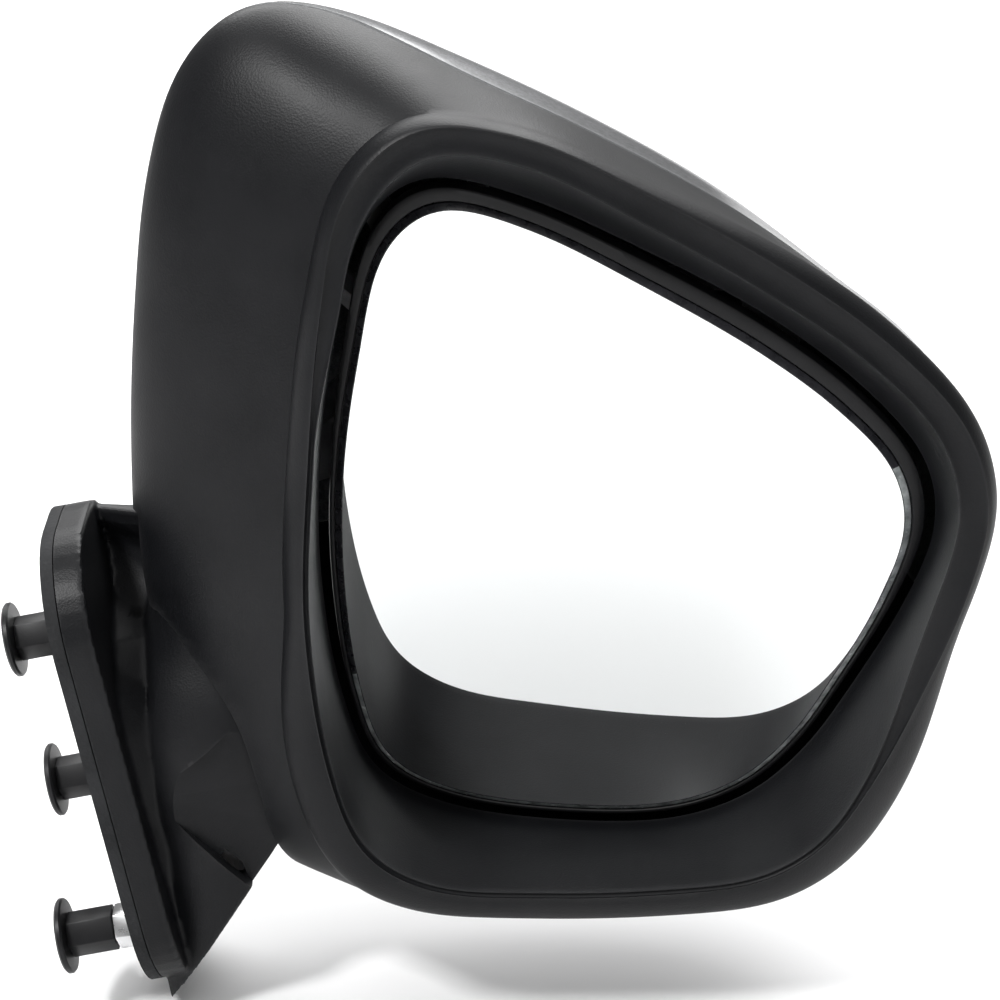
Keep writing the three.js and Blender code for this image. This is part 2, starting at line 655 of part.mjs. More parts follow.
const ringBody = barY(0, 0, RING_OUTER, RING_Y - RING_THICK / 2, RING_Y + RING_THICK / 2, 40)
  .subtract(barY(0, 0, RING_INNER, 0, 30, 40));
const ringPins = barX(RING_Y, 0, PIN_R, -RING_OUTER - 5, RING_OUTER + 5, 16)
  .subtract(barY(0, 0, RING_OUTER - 1, 0, 30, 40));
piece('tilt_ring', ringBody.add(ringPins).subtract(barZ(0, RING_Y, PIN_R + GAP, -20, 20, 16)),
  WHITE_NYLON, glassFrame);

// Actuator tray with two lugs that carry the tilt ring.
const TRAY = { x: 5, z: -5, size: 72, corner: 10 };
const trayOutline = (inset) => roundedRect(TRAY.size - 2 * inset, TRAY.size - 2 * inset,
  TRAY.corner - inset).map(([x, z]) => [x + TRAY.x, z + TRAY.z]);
const TRAY_BACK = ACTUATOR_FRONT + ACTUATOR_DEPTH - 6;
const tray = slabY(trayOutline(0), ACTUATOR_FRONT, TRAY_BACK)
  .subtract(slabY(trayOutline(2), ACTUATOR_FRONT + 2.4, TRAY_BACK + 5));
const LUG_IN = RING_OUTER + GAP + 0.2;
const lugs = [-1, 1].map((side) => box(
  [side * (LUG_IN + 2.6), (9.4 + ACTUATOR_FRONT + 1) / 2, 0], [5.2, ACTUATOR_FRONT + 1 - 9.4, 9],
));
const RODS = { tilt: [0, -ROD_ARM], pan: [ROD_ARM, 0] };
const rodHoles = Object.values(RODS).map(([x, z]) => barY(x, z, ROD_R + GAP, 10, 60, 20));
const base = removeAll(wasm.Manifold.union([tray, ...lugs]),
  [...rodHoles, barX(RING_Y, 0, PIN_R + GAP, -30, 30, 16)]);
piece('actuator_base', base, GREY_NYLON, glassFrame);
const COVER_BACK = TRAY_BACK + GAP + 3;
piece('actuator_cover', slabY(trayOutline(0), TRAY_BACK + GAP, COVER_BACK), GREY_NYLON, glassFrame);

// Push rods: round tip towards the holder, screw thread as grooves behind.
const GEAR_Y = 26;
const GEAR_THICK = 6;
function pushRod() {
  const points = [[0, 0], [1.2, 0], [ROD_R, 1.4]];
  for (let y = 15; y < 27; y += 3) points.push([ROD_R, y], [ROD_R - 0.7, y + 1.5]);
  points.push([ROD_R, 27.5], [0, 27.5]);
  return turned(points, 16).rotate([-90, 0, 0]).translate([0, PAD_Y + GAP, 0]);
}
const gearOutline = Array.from({ length: 48 }, (_, i) => {
  const r = i % 4 < 2 ? 9 : 7.9;
  const a = (i * 7.5 + (i % 2 ? -1.2 : 1.2)) * DEG;
  return [r * Math.cos(a), r * Math.sin(a)];
});
for (const [name, [x, z]] of Object.entries(RODS)) {
  const rod = piece(`${name}_rod`, pushRod(), WHITE_NYLON, glassFrame);
  rod.position.set(x, 0, z);
  const gear = slabY(gearOutline, GEAR_Y, GEAR_Y + GEAR_THICK)
    .subtract(barY(0, 0, ROD_R + GAP, 0, 60, 20));
  piece(`${name}_gear`, gear, WHITE_NYLON, glassFrame).position.set(x, 0, z);
}

// Motors lie beside the gears, each with its worm.
const WORM_OFFSET = 12.4;
const MOTOR_R = 6.4;
const wormProfile = [[0, -7], [2.2, -7]];
for (let h = -6; h <= 6; h += 3) wormProfile.push([2.9, h], [2.1, h + 1.5]);
wormProfile.push([1.2, 7.2], [1.2, 9.5], [0, 9.5]);
const motorProfile = [[0, 9], [MOTOR_R - 0.6, 9], [MOTOR_R, 9.8], [MOTOR_R, 25], [MOTOR_R - 0.8, 26],
  [0, 26]];
const motor = turned(wormProfile, 12).add(turned(motorProfile, 20));
const motorY = GEAR_Y + GEAR_THICK / 2;
const tiltMotor = piece('tilt_motor', motor, STEEL, glassFrame);
tiltMotor.position.set(0, motorY, -ROD_ARM + WORM_OFFSET);
tiltMotor.rotation.y = -90 * DEG;
const panMotor = piece('pan_motor', motor, STEEL, glassFrame);
panMotor.position.set(ROD_ARM - WORM_OFFSET, motorY, 0);

// ---- head frame: bearing on the post, arm to the plate behind the actuator, screw ears

const FRAME_FRONT = COVER_BACK + GAP;
const FRAME_BACK = FRAME_FRONT + 3.5;
const toPart = (shape) => {
  const e = new THREE.Euler().setFromRotationMatrix(glassToPart, 'ZYX');
  return shape.rotate([e.x / DEG, e.y / DEG, e.z / DEG]).translate(GLASS_CENTRE);
};
const plateOutline = roundedRect(112, 96, 22).map(([x, z]) => [x - 9, z]);
const windows = [[-34, 22], [-34, -24], [22, 34]].map(([x, z]) => slabY(
  roundedRect(20, 18, 5).map(([px, pz]) => [px + x, pz + z]), 0, 90,
));
const backPlate = toPart(removeAll(slabY(plateOutline, FRAME_FRONT, FRAME_BACK), windows));
const bearing = barZ(FOLD_X, 0, BEARING_R, BEARING_LOW, BEARING_HIGH, 40);
const bearingArm = wasm.Manifold.hull([
  box([FOLD_X + 6, 5, (BEARING_LOW + BEARING_HIGH) / 2], [8, 12, BEARING_THICK - 1]),
  box([74, 38, 78], [8, 6, 26]),
]);
const EAR_THICK = 3.5;
const EAR_BACK = BOSS_END + GAP + EAR_THICK;
const ears = SHELL_BOSSES.map(([x, z, r]) => {
  const [kneeX, kneeZ] = [x + (80 - x) * 0.42, z + (78 - z) * 0.05];
  const t = 8.5 / Math.hypot(kneeX - x, kneeZ - z);
  const tip = barY(x + (kneeX - x) * t, z + (kneeZ - z) * t, r * 0.7, BOSS_END + GAP, EAR_BACK, 12);
  const knee = box([kneeX, 12, kneeZ], [4, 4, 4]);
  return wasm.Manifold.union([
    wasm.Manifold.hull([barY(x, z, r, BOSS_END + GAP, EAR_BACK, 16), tip]),
    wasm.Manifold.hull([tip, knee]),
    wasm.Manifold.hull([knee, box([x + (94 - x) * 0.66, 36, z + (72 - z) * 0.5], [6, 8, 6])]),
  ]);
});
const screwRoom = SHELL_BOSSES.flatMap(([x, z]) => [
  barY(x, z, 1.9, -20, 20, 12), barY(x, z, 3.3, EAR_BACK, 14, 16),
]);
const springRoom = barZ(FOLD_X, 0, SPRING_R + SPRING_WIRE_R + 0.8, BEARING_HIGH, POST_TOP + 8, 28);
const headFrame = removeAll(
  wasm.Manifold.union([backPlate, bearing, bearingArm, ...ears]),
  [postHole, springRoom, ...screwRoom],
);
piece('head_frame', headFrame, CAST_ALLOY);

SHELL_BOSSES.forEach(([x, z], i) => {
  const screw = turned([[0, 0], [3, 0], [3, 1.8], [1.6, 1.8], [1.6, 11], [0, 12]], 14)
    .rotate([90, 0, 0]).translate([x, EAR_BACK + GAP + 1.8, z]);
  piece(`shell_screw_${i + 1}`, screw, ZINC);
});

export default root;
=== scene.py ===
import math

import bmesh
import bpy
import numpy as np
from mathutils import Matrix, Vector


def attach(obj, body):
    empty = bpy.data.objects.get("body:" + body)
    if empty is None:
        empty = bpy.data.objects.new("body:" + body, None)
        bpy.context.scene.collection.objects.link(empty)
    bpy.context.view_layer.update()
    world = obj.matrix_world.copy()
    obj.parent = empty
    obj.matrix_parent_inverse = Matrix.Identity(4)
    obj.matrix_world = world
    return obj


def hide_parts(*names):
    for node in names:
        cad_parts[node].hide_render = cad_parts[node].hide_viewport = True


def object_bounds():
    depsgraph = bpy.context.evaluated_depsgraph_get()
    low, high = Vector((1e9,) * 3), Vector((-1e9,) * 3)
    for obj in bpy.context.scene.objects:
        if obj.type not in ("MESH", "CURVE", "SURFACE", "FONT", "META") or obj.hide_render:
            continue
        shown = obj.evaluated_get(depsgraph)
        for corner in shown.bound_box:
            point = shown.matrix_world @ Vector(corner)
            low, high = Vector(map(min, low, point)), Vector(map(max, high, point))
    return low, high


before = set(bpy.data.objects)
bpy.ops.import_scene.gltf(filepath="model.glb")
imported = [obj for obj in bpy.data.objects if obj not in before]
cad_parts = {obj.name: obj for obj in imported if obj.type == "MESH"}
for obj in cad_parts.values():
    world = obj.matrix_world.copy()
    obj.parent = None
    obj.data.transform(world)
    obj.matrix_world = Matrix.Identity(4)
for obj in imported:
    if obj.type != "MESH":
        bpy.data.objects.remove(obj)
CAD_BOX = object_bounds()

# ------------------------------------------------------------------ dimensions

MM = 0.001
GAP = 0.3
SKIN = 2.4
WALL = 3.4  # wall of the foot cover, before its edges are eased
AROUND = 360
LEAN = Matrix.Rotation(math.radians(-10), 4, "Y")

PLATE = (60, 124, 24)  # depth, height, corner of the door plate
GASKET_THICK = 3
FOLD_X = 29
TURRET_TOP = 60
TURRET_BOTTOM = -70
TURRET = [(23, -40), (24.2, -18), (26.4, -2), (25.8, 13), (23, 22), (17.2, 33), (15.4, 44), (14.8, 57)]
POST_R = 6.5
WEB = [
    (-66, 128, 240), (-40, 128, 240), (-20, 124, 240), (0, 118, 238), (14, 112, 232),
    (24, 108, 222), (33, 105, 200), (42, 104, 160), (50, 103, 151), (60, 107, 150),
]
WEB_HALF_DEPTH = 26
FORWARD_TRIM, TRIM_END, TRIM_TOP = 68, 204, 66
BEARING_ROOM_R = 13.8  # free space above the turret for the head's bearing
HEAD_CLEARANCE = 0.8  # between the turret and the head's skin

HEAD_X, HEAD_Z = 118, 72
RIM_Y, SHOULDER_Y, WIDEST_Y, SPLIT_Y = -40, -33, -3, -14
SPLIT_SWEEP = 22
SEAM = 0.6
NOSE_DEPTH, NOSE_POWER = 66.8, 2.2
LOWER_COVER_Z = 40
FIT = 0.25  # keeps the fine skin inside the coarse one

RIM_OUTLINE = [
    (52, 50), (54, 90), (58, 126), (64, 152), (79, 166), (102, 164), (130, 151), (160, 134), (186, 115),
    (204, 95), (210, 76), (207, 56), (198, 30), (187, 5), (176, -12), (162, -21), (138, -24), (108, -24),
    (80, -21), (65, -11), (57, 10),
]
WIDEST_OUTLINE = [
    (11, 82), (14, 118), (19, 150), (28, 174), (43, 186), (63, 184), (88, 174), (118, 160), (150, 142),
    (180, 119.5), (201, 102), (212, 83), (211, 58), (202, 28), (192, 3), (180, -20), (163, -33),
    (138, -38), (108, -38), (80, -36), (58, -34), (38, -26), (27, -8), (17, 20), (11, 50),
]
GLASS_OUTLINE = [
    (-66, -16), (-65, 14), (-60, 45), (-52, 74), (-40, 83.5), (-20, 79), (6, 66), (34, 49.5), (54, 34),
    (68, 18), (72, 2), (67, -20), (57, -43), (48, -60), (36, -74), (19, -82.5), (-8, -84.5), (-40, -80),
    (-56, -70), (-63, -48),
]
GLASS_FRAME = (Matrix.Translation((125, -13, 62)) @ Matrix.Rotation(math.radians(-6), 4, "Z")
               @ Matrix.Rotation(math.radians(8), 4, "X"))
GLASS_THICK, HOLDER_THICK, FUNNEL_GAP = 2.2, 3, 2.5

STUDS = [(12, 28), (14, -14), (-19, -41)]
STUD_R, STUD_REACH = 3, 20.5
THREAD_TURNS, THREAD_PITCH, THREAD_DEPTH = 26, 0.5, 0.35
COLLAR_FLATS, COLLAR_LENGTH = 10, 5
NUT_FLATS, NUT_FACE = 10, 17
NUT_FLANGE_R, NUT_FLANGE_THICK = 9.5, 2
GROMMET_Y, GROMMET_Z, GROMMET_R = 6, -40, 13

# ----------------------------------------------------------------- mesh helpers


def make(name, points, faces):
    mesh = bpy.data.meshes.new(name)
    mesh.from_pydata([(x * MM, y * MM, z * MM) for x, y, z in points], [], faces)
    mesh.update()
    piece = bpy.data.objects.new(name, mesh)
    bpy.context.collection.objects.link(piece)
    bm = bmesh.new()
    bm.from_mesh(mesh)
    bmesh.ops.recalc_face_normals(bm, faces=bm.faces)
    bm.to_mesh(mesh)
    bm.free()
    return piece


def rings(name, sections, closed):
    """A closed surface through sections of equal length; open ends are capped on a centre."""
    stack = np.array(sections, dtype=float)
    count = stack.shape[1]
    points = stack.reshape(-1, 3).tolist()
    faces = []
    steps = len(stack) if closed else len(stack) - 1
    for r in range(steps):
        a, b = r * count, ((r + 1) % len(stack)) * count
        faces += [(a + i, b + i, b + (i + 1) % count, a + (i + 1) % count) for i in range(count)]
    if not closed:
        for r in (0, len(stack) - 1):
            points.append(stack[r].mean(axis=0).tolist())
            centre = len(points) - 1
            faces += [(centre, r * count + i, r * count + (i + 1) % count) for i in range(count)]
    return make(name, points, faces)


def lathe(name, profile, sides=64):
    """Solid of revolution about z from (radius, height) points between the two axis ends."""
    turn = np.linspace(0, 2 * math.pi, sides, endpoint=False)
    body = [(r, h) for r, h in profile if r > 0]
    return rings(name, [np.stack([r * np.cos(turn), r * np.sin(turn), np.full(sides, h)], 1)
                        for r, h in body], False)


def slab(name, outline, low, high, axis):
    """An outline of two coordinates pushed through the third: axis 0 is x, 1 is y."""
    level = [np.insert(np.array(outline, dtype=float), axis, depth, axis=1) for depth in (low, high)]
    return rings(name, level, False)


def place(piece, matrix):
    scaled = matrix.copy()
    scaled.translation = matrix.translation * MM
    piece.data.transform(scaled)
    return piece


def settle(piece):
    """Applies the piece's modifiers to its mesh."""
    depsgraph = bpy.context.evaluated_depsgraph_get()
    mesh = bpy.data.meshes.new_from_object(piece.evaluated_get(depsgraph))
    old = piece.data
    piece.modifiers.clear()
    piece.data = mesh
    bpy.data.meshes.remove(old)
    return piece


def combine(piece, others, operation="DIFFERENCE", keep=()):
    for other in others:
        boolean = piece.modifiers.new("cut", "BOOLEAN")
        boolean.operation, boolean.object, boolean.solver = operation, other, "MANIFOLD"
        settle(piece)
        if other not in keep:
            bpy.data.objects.remove(other)
    return piece


def soften(piece, width, segments=3, angle=35):
    bevel = piece.modifiers.new("edges", "BEVEL")
    bevel.width, bevel.segments, bevel.limit_method = width * MM, segments, "ANGLE"
    bevel.angle_limit = math.radians(angle)
    bevel.harden_normals = False
    return settle(piece)


def shade(piece, angle=32):
    for polygon in piece.data.polygons:
        polygon.use_smooth = True
    piece.data.set_sharp_from_angle(angle=math.radians(angle))
    return piece


def rounded_rect(width, height, radius, steps=10):
    points = []
    for corner in range(4):
        sx = 1 if corner in (0, 3) else -1
        sz = 1 if corner < 2 else -1
        for i in range(steps + 1):
            a = math.radians((corner + i / steps) * 90)
            points.append((sx * (width / 2 - radius) + radius * math.cos(a),
                           sz * (height / 2 - radius) + radius * math.sin(a)))
    return points


def block(name, centre, size):
    half = [s / 2 for s in size]
    outline = [(-half[0], -half[2]), (half[0], -half[2]), (half[0], half[2]), (-half[0], half[2])]
    return place(slab(name, outline, -half[1], half[1], 1), Matrix.Translation(centre))


def bar(name, radius, low, high, axis, centre, sides=48):
    """Round bar along x, y or z through a centre."""
    body = lathe(name, [(radius, low), (radius, high)], sides)
    turn = {"x": Matrix.Rotation(math.radians(90), 4, "Y"), "z": Matrix.Identity(4),
            "y": Matrix.Rotation(math.radians(-90), 4, "X")}[axis]
    return place(body, Matrix.Translation(centre) @ turn)


# -------------------------------------------------------------------- outlines


def closed_curve(points, steps=24):
    """Centripetal Catmull-Rom curve through the points."""
    p = np.array(points, dtype=float)
    out = []
    for i in range(len(p)):
        p0, p1, p2, p3 = (p[(i + k) % len(p)] for k in (-1, 0, 1, 2))
        d0, d1, d2 = (math.sqrt(np.linalg.norm(q)) for q in (p1 - p0, p2 - p1, p3 - p2))
        m1 = ((p1 - p0) / d0 - (p2 - p0) / (d0 + d1) + (p2 - p1) / d1) * d1
        m2 = ((p2 - p1) / d1 - (p3 - p1) / (d1 + d2) + (p3 - p2) / d2) * d1
        for t in np.linspace(0, 1, steps, endpoint=False):
            out.append(p1 + m1 * t + (3 * (p2 - p1) - 2 * m1 - m2) * t ** 2
                       + (2 * (p1 - p2) + m1 + m2) * t ** 3)
    return np.array(out)


TURN = np.linspace(0, 2 * math.pi, AROUND, endpoint=False)
COS, SIN = np.cos(TURN), np.sin(TURN)


def radial(points, centre, blur=2.5):
    """Radius of the curve for every direction from the centre, slightly eased."""
    curve = closed_curve(points) - np.array(centre, dtype=float)
    angle = np.arctan2(curve[:, 1], curve[:, 0]) % (2 * math.pi)
    order = np.argsort(angle)
    radius = np.interp(TURN, angle[order], np.hypot(curve[:, 0], curve[:, 1])[order], period=2 * math.pi)
    offset = np.arange(-12, 13)
    weight = np.exp(-0.5 * (offset / blur) ** 2)
    return sum(w * np.roll(radius, k) for k, w in zip(offset, weight)) / weight.sum()


def smooth(low, high, value):
    t = np.clip((value - low) / (high - low), 0, 1)
    return t * t * (3 - 2 * t)


RIM = radial(RIM_OUTLINE, (HEAD_X, HEAD_Z)) - FIT
WIDEST = radial(WIDEST_OUTLINE, (HEAD_X, HEAD_Z)) - FIT
GLASS = radial(GLASS_OUTLINE, (0, 0))
SHOULDER = (RIM + 1.2 + 8 * smooth(0.25, 0.8, -SIN) + 2 * smooth(0, 0.8, COS)
            + 3.5 * smooth(0.2, 0.9, -COS))
SPLIT = SPLIT_Y + SPLIT_SWEEP * smooth(0.1, 0.8, -COS)
LIP = 1.6 + 5.2 * smooth(-0.3, 0.4, np.cos(TURN - math.radians(55)))
HOLDER = 1.6 + 2.4 * smooth(-0.2, 0.8, np.sin(TURN + math.radians(20)))
FUNNEL = GLASS + HOLDER + FUNNEL_GAP


def head_ring(radius, y):
    return np.stack([HEAD_X + radius * COS, np.broadcast_to(y, TURN.shape), HEAD_Z + radius * SIN], 1)


def skin(y, inset=0.0):
    y = np.broadcast_to(np.asarray(y, dtype=float), TURN.shape)
    t = (y - SHOULDER_Y) / (WIDEST_Y - SHOULDER_Y)
    crown = 0.35 + 0.45 * smooth(0.1, 0.7, -COS)
    rear = SHOULDER + (WIDEST - SHOULDER) * (t + crown * t * (1 - t))
    s = np.clip((y - WIDEST_Y) / (NOSE_DEPTH - inset), 0, 1)
    front = WIDEST * (1 - s ** NOSE_POWER) ** (1 / NOSE_POWER)
    return np.where(y <= WIDEST_Y, rear, front) - inset


def glass_ring(radius, y):
    local = np.stack([radius * COS, np.broadcast_to(y, TURN.shape), radius * SIN, np.ones(AROUND)], 1)
    return (local @ np.array(GLASS_FRAME).T)[:, :3]


# ------------------------------------------------------------------- the foot


def about_axis(radius, degrees, z):
    a = math.radians(degrees)
    return (FOLD_X + radius * math.cos(a), radius * math.sin(a), z)


def turret(name, grow, bottom=TURRET_BOTTOM, top=TURRET_TOP):
    side = closed_side(TURRET)
    profile = [(side[0][0] + grow, bottom)] + [(r + grow, z) for r, z in side]
    profile.append((side[-1][0] + grow - 1, top))
    return place(lathe(name, profile, 96), Matrix.Translation((FOLD_X, 0, 0)))


def closed_side(points, steps=5):
    """The turret's side with rounded transitions between its stated radii."""
    heights = [z for _, z in points]
    fine = np.linspace(heights[0], heights[-1], steps * len(points))
    radius = np.interp(fine, heights, [r for r, _ in points])
    kernel = np.array([1, 2, 3, 2, 1]) / 9
    padded = np.pad(radius, 2, mode="edge")
    return list(zip(np.convolve(padded, kernel, mode="valid").tolist(), fine.tolist()))


def turret_radius(z):
    return float(np.interp(z, [h for _, h in TURRET], [r for r, _ in TURRET]))


def door_plate(name, inset, low, high):
    outline = rounded_rect(PLATE[0] - 2 * inset, PLATE[1] - 2 * inset, PLATE[2] - inset)
    return place(slab(name, outline, low, high, 0), LEAN)


def plate_half_depth(z):
    above = max(0, abs(z) - (PLATE[1] / 2 - PLATE[2]))
    return PLATE[0] / 2 - PLATE[2] + math.sqrt(max(0, PLATE[2] ** 2 - above ** 2))


def web(name, inset):
    sections = []
    for level, (z, forward, rearward) in enumerate(WEB):
        plate_x = (GASKET_THICK + 4) / math.cos(math.radians(10)) - z * math.tan(math.radians(10))
        reach = FOLD_X - plate_x
        edge = math.degrees(inset / 22)
        start, end = forward + edge, rearward - edge
        height = z - inset if level == len(WEB) - 1 else z
        half = min(WEB_HALF_DEPTH, plate_half_depth(z)) - inset
        y0, y1 = (float(np.clip(-reach * math.tan(math.radians(a)), -half, half)) for a in (end, start))
        y0 = min(y0, y1 - 2)
        arc = [about_axis(turret_radius(z) - 3, start + (end - start) * t, height)
               for t in np.linspace(0, 1, 5)]
        back = [(plate_x, y0 + (y1 - y0) * t, height) for t in np.linspace(0, 1, 4)]
        sections.append(arc + back)
    return rings(name, sections, False)


def underside(name, up):
    outline = [(-10, -120), (90, -120), (90, 0), (62, -1), (43, -19), (17, -60), (8, -75), (-10, -90)]
    return slab(name, [(x, z + up) for x, z in outline], -60, 60, 1)


def facet(name, inset):
    """The flat lower face, running down and back from a crease across the foot."""
    turn = Matrix.Rotation(math.radians(-42), 4, "Y") @ Matrix.Rotation(math.radians(9), 4, "X")
    low = place(block(name, (56, -60, -60), (170, 120, 120)), turn)
    return place(low, Matrix.Translation((34, -24.6 + inset, 17 + inset)))


def forward_trim(name):
    sections = []
    levels = ((-95, 8), (TURRET_TOP + 0.7, 8), (TURRET_TOP + 0.9, BEARING_ROOM_R),
              (TRIM_TOP, BEARING_ROOM_R))
    for z, inner in levels:
        steps = [FORWARD_TRIM + (TRIM_END - FORWARD_TRIM) * t for t in np.linspace(0, 1, 12)]
        sections.append([about_axis(inner, a, z) for a in steps]
                        + [about_axis(90, a, z) for a in reversed(steps)])
    return rings(name, sections, False)


def foot_form(name, inset, low=GASKET_THICK + GAP):
    body = door_plate(name, inset, low, GASKET_THICK + 7 - inset)
    combine(body, [web("web", inset)], "UNION")
    combine(body, [bar("room", BEARING_ROOM_R, TURRET_TOP, 90, "z", (FOLD_X, 0, 0))])
    top = TURRET_TOP - inset
    combine(body, [turret("turret", -inset, TURRET_BOTTOM, top)], "UNION")
    return combine(body, [underside("under", inset)])


foot_shell = foot_form("foot_shell", 0, -6)
remesh = foot_shell.modifiers.new("even", "REMESH")
remesh.mode, remesh.voxel_size = "VOXEL", 0.7 * MM
ease = foot_shell.modifiers.new("ease", "SMOOTH")
ease.factor, ease.iterations = 0.5, 5
settle(foot_shell)
combine(foot_shell, [facet("facet", 0)])
hollow = combine(foot_form("hollow", WALL), [facet("inner_facet", WALL)])
combine(hollow, [door_plate("open", WALL, -5, GASKET_THICK + 5)], "UNION")
door_side = place(block("door_side", (-100 + GASKET_THICK + GAP, 0, 0), (200, 300, 300)), LEAN)
combine(foot_shell, [hollow, door_side, bar("post_way", POST_R + GAP, 40, 90, "z", (FOLD_X, 0, 0))])

# Space that the head's skin leaves round the foot.
foot_room = turret("foot_room", HEAD_CLEARANCE, -90, TURRET_TOP + HEAD_CLEARANCE)
combine(foot_room, [forward_trim("trim")], "UNION")

# -------------------------------------------------------------------- the head


def housing():
    """Rear shell: skin, shoulder, crisp rim, dished lip and funnel in one wall."""
    outer = []
    for t in np.linspace(0, 1, 18):
        y = SPLIT + (SHOULDER_Y - SPLIT) * t
        outer.append(head_ring(skin(y), y))
    outer[0] = head_ring(skin(SPLIT) - 0.5, SPLIT)
    outer.insert(1, head_ring(skin(SPLIT - 0.5), SPLIT - 0.5))
    # shoulder to rim: a quarter-round that stops at the crease
    for t in np.linspace(0.15, 1, 8):
        swell = np.sin(t * math.pi / 2)
        drop = 1 - np.cos(t * math.pi / 2)
        radius = SHOULDER + (RIM - SHOULDER) * drop + 0.25 * swell * (1 - t)
        outer.append(head_ring(radius, SHOULDER_Y + (RIM_Y - SHOULDER_Y) * (0.4 * swell + 0.6 * t)))
    outer[-1] = head_ring(RIM + 0.1, RIM_Y + 0.25)
    outer.append(head_ring(RIM - 0.2, RIM_Y + 0.02))
    lip = RIM - LIP
    for t in (0.12, 0.3, 0.5, 0.7, 0.88):
        outer.append(head_ring(RIM - LIP * t, RIM_Y + 0.15 + 0.75 * math.sin(t * math.pi) + 0.25 * t))
    edge = head_ring(lip, np.full(AROUND, RIM_Y + 0.45))
    end = glass_ring(FUNNEL, 1.0)
    outer.append(head_ring(lip + 0.2, RIM_Y + 0.38))
    outer.append(edge)
    for t, push in ((0.03, 0.9), (0.12, 1.9), (0.3, 2.4), (0.55, 2.2), (0.8, 1.1), (0.97, 0.2)):
        outer.append(edge + (end - edge) * t + np.array([0, push, 0]))
    outer.append(end)
    back = glass_ring(FUNNEL + SKIN, 1.0)
    inside = head_ring(lip + SKIN, np.full(AROUND, RIM_Y + 0.8))
    inner = [back, (inside + back) / 2,
             head_ring(np.minimum(lip + SKIN, SHOULDER - SKIN - 1), RIM_Y + 4.5),
             head_ring(SHOULDER - SKIN, SHOULDER_Y + 1)]
    for t in (0.6, 0.3, 0):
        y = SPLIT + (SHOULDER_Y - SPLIT) * t
        inner.append(head_ring(skin(y) - SKIN, y))
    sections = np.stack(outer + inner, 1)
    return rings("housing_shell", sections, True)


def dome(name, inset):
    start = SPLIT + (SEAM if inset == 0 else -1)
    front = WIDEST_Y + NOSE_DEPTH - inset
    sections = []
    for t in np.sin(np.linspace(0, math.pi / 2 * 0.97, 44)):
        y = start + (front - start) * t
        sections.append(head_ring(skin(y, inset), y))
    if inset == 0:
        sections.insert(0, head_ring(skin(start) - 0.6, start))
        sections[1] = head_ring(skin(start + 0.6), start + 0.6)
    return rings(name, sections, False)


housing_shell = housing()
combine(housing_shell, [foot_room], keep=(foot_room,))
cap_shell = combine(dome("cap_shell", 0), [dome("inner_dome", SKIN), foot_room], keep=(foot_room,))
lower_shell = cap_shell.copy()
lower_shell.data = cap_shell.data.copy()
lower_shell.name = "lower_shell"
bpy.context.collection.objects.link(lower_shell)
combine(cap_shell, [block("low", (110, 20, LOWER_COVER_Z - 200 + GAP / 2), (400, 400, 400))])
combine(lower_shell, [block("high", (110, 20, LOWER_COVER_Z + 200 - GAP / 2), (400, 400, 400))])
bpy.data.objects.remove(foot_room)

# ------------------------------------------------------------------- the glass

GRIND = 1.5  # width of the ground bevel round the glass


def glass_plate():
    sections = [glass_ring(GLASS - GRIND, 0.0), glass_ring(GLASS - GRIND - 0.25, 0.0)]
    body = [glass_ring((GLASS - 8) * s, 0.0) for s in (0.001, 0.5, 1.0)] + sections[::-1]
    body += [glass_ring(GLASS - 0.15, 0.75), glass_ring(GLASS, 0.95), glass_ring(GLASS, GLASS_THICK)]
    body.append(glass_ring(GLASS * 0.5, GLASS_THICK))
    return rings("glass_plate", body, False)


def holder_tray():
    back = GLASS_THICK + GAP + HOLDER_THICK
    outer, inner = GLASS + HOLDER, GLASS + GAP
    sections = [
        glass_ring(inner, GLASS_THICK + GAP), glass_ring(inner, 0.9), glass_ring(inner + 0.25, 0.65),
        glass_ring((inner + outer) / 2, 0.6), glass_ring(outer - 0.5, 0.65), glass_ring(outer - 0.12, 0.85),
        glass_ring(outer, 1.2), glass_ring(outer, back - 0.5), glass_ring(outer - 0.5, back),
        glass_ring(outer * 0.5, back), glass_ring(outer * 0.001, back),
    ]
    floor = [glass_ring(inner * 0.001, GLASS_THICK + GAP), glass_ring(inner * 0.5, GLASS_THICK + GAP)]
    return rings("holder_tray", floor + sections, False)


plate = glass_plate()
tray = holder_tray()
RING_Y, PIN_R, RING_OUTER = 12, 1.8, 14  # the gimbal's tilt ring and the pins that it hangs on
ROD_ARM, PAD_Y = 25, 8  # where the push rods press on the holder
back = GLASS_THICK + GAP + HOLDER_THICK
hub = soften(block("hub", (0, (back + 14) / 2, 0), (11, 15 - back, 11)), 0.4)
combine(hub, [bar("pins", PIN_R, -RING_OUTER, RING_OUTER, "z", (0, RING_Y, 0), 24)], "UNION")
pads = [bar("pad", 4.2, back - 1, PAD_Y, "y", (x, 0, z)) for x, z in ((0, -ROD_ARM), (ROD_ARM, 0))]
for part in [hub] + pads:
    place(part, GLASS_FRAME)
combine(tray, [hub] + pads, "UNION")

# ------------------------------------------------------- gasket, studs and nuts

gasket = slab("gasket_pad", rounded_rect(*PLATE), 0, GASKET_THICK, 0)
combine(gasket, [bar("hole", COLLAR_FLATS / 2 + 1.2, -5, 20, "x", (0, y, z)) for y, z in STUDS]
        + [bar("hole", GROMMET_R - 3, -10, 30, "x", (0, GROMMET_Y, GROMMET_Z))])
place(soften(gasket, 0.5), LEAN)


def hexagon(flats):
    corner = flats / math.sqrt(3)
    return [(corner * math.cos(math.radians(60 * i)), corner * math.sin(math.radians(60 * i)))
            for i in range(6)]


